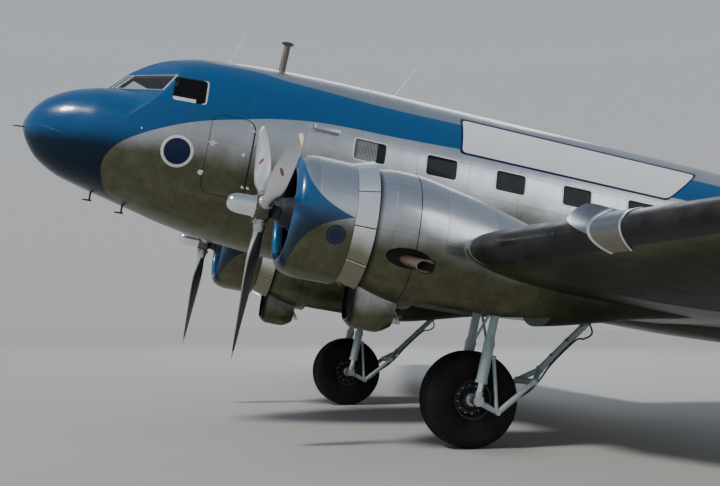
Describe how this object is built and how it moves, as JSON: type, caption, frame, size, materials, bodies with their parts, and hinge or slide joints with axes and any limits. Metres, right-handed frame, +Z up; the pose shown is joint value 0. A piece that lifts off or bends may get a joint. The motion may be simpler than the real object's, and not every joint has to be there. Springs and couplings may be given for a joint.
{
  "type": "twin-engine propeller airliner",
  "caption": "Low-wing twin-engine propeller airliner of the 1930s, parked nose up on a tail-wheel gear, with working propellers, wheels, control surfaces, flaps and cabin door.",
  "frame": {"origin": "on the ground, under the middle of the parked aircraft's bounding box", "axes": "+X towards the tail, +Y to starboard, +Z up from the ground"},
  "size_m": [19.6752, 28.96, 5.4202],
  "materials": {
    "blue_paint": "gloss blue enamel",
    "skin_metal": "bare riveted sheet, satin",
    "doped_fabric": "silver dope",
    "window_glass": "clear over a dark cabin",
    "tyre_rubber": "matte",
    "gear_paint": "pale grey-green enamel",
    "dark_steel": "oily",
    "polished_metal": "polished"
  },
  "bodies": {
    "airframe": {"nose_cap": "blue_paint", "fuselage_nose": "skin_metal", "fuselage_cabin": "skin_metal", "fuselage_door_section": "skin_metal", "fuselage_tail": "skin_metal", "wing_centre_section": "skin_metal", "fin": "skin_metal", "tail_wheel_strut": "gear_paint", "aerial_mast": "polished_metal", "windscreen_left": "window_glass", "cockpit_window_left": "window_glass", "outer_wing_left": "skin_metal", "nacelle_left": "skin_metal", "cowling_left": "blue_paint", "cowl_flaps_left": "polished_metal", "engine_left": "dark_steel", "oil_cooler_left": "skin_metal", "exhaust_pipe_left": "dark_steel", "gear_legs_left": "gear_paint", "drag_strut_left": "gear_paint", "stabiliser_left": "skin_metal", "windscreen_right": "window_glass", "cockpit_window_right": "window_glass", "outer_wing_right": "skin_metal", "nacelle_right": "skin_metal", "cowling_right": "blue_paint", "cowl_flaps_right": "polished_metal", "engine_right": "dark_steel", "oil_cooler_right": "skin_metal", "exhaust_pipe_right": "dark_steel", "gear_legs_right": "gear_paint", "drag_strut_right": "gear_paint", "stabiliser_right": "skin_metal"},
    "propeller_assembly_left": {"propeller_left": "polished_metal", "propeller_dome_left": "dark_steel"},
    "wheel_assembly_left": {"main_wheel_left": "gear_paint", "main_tyre_left": "tyre_rubber"},
    "propeller_assembly_right": {"propeller_right": "polished_metal", "propeller_dome_right": "dark_steel"},
    "wheel_assembly_right": {"main_wheel_right": "gear_paint", "main_tyre_right": "tyre_rubber"},
    "tail_wheel_swivel": {"tail_wheel_fork": "gear_paint"},
    "tail_wheel_assembly": {"tail_wheel": "gear_paint", "tail_tyre": "tyre_rubber"},
    "rudder": {"rudder": "doped_fabric"},
    "elevator_left": {"elevator_left": "doped_fabric"},
    "elevator_right": {"elevator_right": "doped_fabric"},
    "aileron_left": {"aileron_left": "doped_fabric"},
    "aileron_right": {"aileron_right": "doped_fabric"},
    "flap_inner_left": {"flap_inner_left": "skin_metal"},
    "flap_outer_left": {"flap_outer_left": "skin_metal"},
    "flap_inner_right": {"flap_inner_right": "skin_metal"},
    "flap_outer_right": {"flap_outer_right": "skin_metal"},
    "passenger_door": {"passenger_door": "skin_metal"}
  },
  "joints": [
    {"name": "propeller_spin_left", "type": "hinge", "parent": "airframe", "child": "propeller_assembly_left", "pos_m": [-6.98023, -2.82, 2.70817], "axis": [0.9863, 0, -0.165], "continuous": true},
    {"name": "wheel_spin_left", "type": "hinge", "parent": "airframe", "child": "wheel_assembly_left", "pos_m": [-4.62607, -2.82, 0.56017], "axis": [0, 1, 0], "continuous": true},
    {"name": "propeller_spin_right", "type": "hinge", "parent": "airframe", "child": "propeller_assembly_right", "pos_m": [-6.98023, 2.82, 2.70817], "axis": [0.9863, 0, -0.165], "continuous": true},
    {"name": "wheel_spin_right", "type": "hinge", "parent": "airframe", "child": "wheel_assembly_right", "pos_m": [-4.62607, 2.82, 0.56017], "axis": [0, 1, 0], "continuous": true},
    {"name": "tail_swivel", "type": "hinge", "parent": "airframe", "child": "tail_wheel_swivel", "pos_m": [6.76472, 0, 0.27575], "axis": [0, 0, 1], "continuous": true},
    {"name": "tail_wheel_spin", "type": "hinge", "parent": "tail_wheel_swivel", "child": "tail_wheel_assembly", "pos_m": [6.87472, 0, 0.27575], "axis": [0, 1, 0], "continuous": true},
    {"name": "rudder_hinge", "type": "hinge", "parent": "airframe", "child": "rudder", "pos_m": [8.11824, 0, 1.95082], "axis": [0.165, 0, 0.9863], "range_deg": [-30, 30]},
    {"name": "elevator_hinge_left", "type": "hinge", "parent": "airframe", "child": "elevator_left", "pos_m": [7.46292, -0.52, 1.67013], "axis": [0, 1, 0], "range_deg": [-30, 20]},
    {"name": "elevator_hinge_right", "type": "hinge", "parent": "airframe", "child": "elevator_right", "pos_m": [7.46292, 0.52, 1.67013], "axis": [0, 1, 0], "range_deg": [-30, 20]},
    {"name": "aileron_hinge_left", "type": "hinge", "parent": "airframe", "child": "aileron_left", "pos_m": [-1.36503, -9, 2.08485], "axis": [-0.0548, 0.995, -0.0837], "range_deg": [-22.5, 22.5]},
    {"name": "aileron_hinge_right", "type": "hinge", "parent": "airframe", "child": "aileron_right", "pos_m": [-1.36503, 9, 2.08485], "axis": [0.0548, 0.995, 0.0837], "range_deg": [-22.5, 22.5]},
    {"name": "flap_inner_hinge_left", "type": "hinge", "parent": "airframe", "child": "flap_inner_left", "pos_m": [-1.52784, -1.33, 1.51217], "axis": [0, 1, 0], "range_deg": [0, 45]},
    {"name": "flap_outer_hinge_left", "type": "hinge", "parent": "airframe", "child": "flap_outer_left", "pos_m": [-1.52343, -4.36, 1.52129], "axis": [-0.0485, 0.9939, -0.0994], "range_deg": [0, 45]},
    {"name": "flap_inner_hinge_right", "type": "hinge", "parent": "airframe", "child": "flap_inner_right", "pos_m": [-1.52784, 1.33, 1.51217], "axis": [0, 1, 0], "range_deg": [0, 45]},
    {"name": "flap_outer_hinge_right", "type": "hinge", "parent": "airframe", "child": "flap_outer_right", "pos_m": [-1.52343, 4.36, 1.52129], "axis": [0.0485, 0.9939, 0.0994], "range_deg": [0, 45]},
    {"name": "passenger_door_hinge", "type": "hinge", "parent": "airframe", "child": "passenger_door", "pos_m": [2.36161, -1.15, 2.15879], "axis": [-0.165, 0, -0.9863], "range_deg": [0, 95]}
  ],
  "couplings": [
    {"joint": "elevator_hinge_right", "follows": "elevator_hinge_left", "ratio": 1},
    {"joint": "aileron_hinge_right", "follows": "aileron_hinge_left", "ratio": -1},
    {"joint": "flap_outer_hinge_left", "follows": "flap_inner_hinge_left", "ratio": 1},
    {"joint": "flap_inner_hinge_right", "follows": "flap_inner_hinge_left", "ratio": 1},
    {"joint": "flap_outer_hinge_right", "follows": "flap_inner_hinge_left", "ratio": 1}
  ]
}
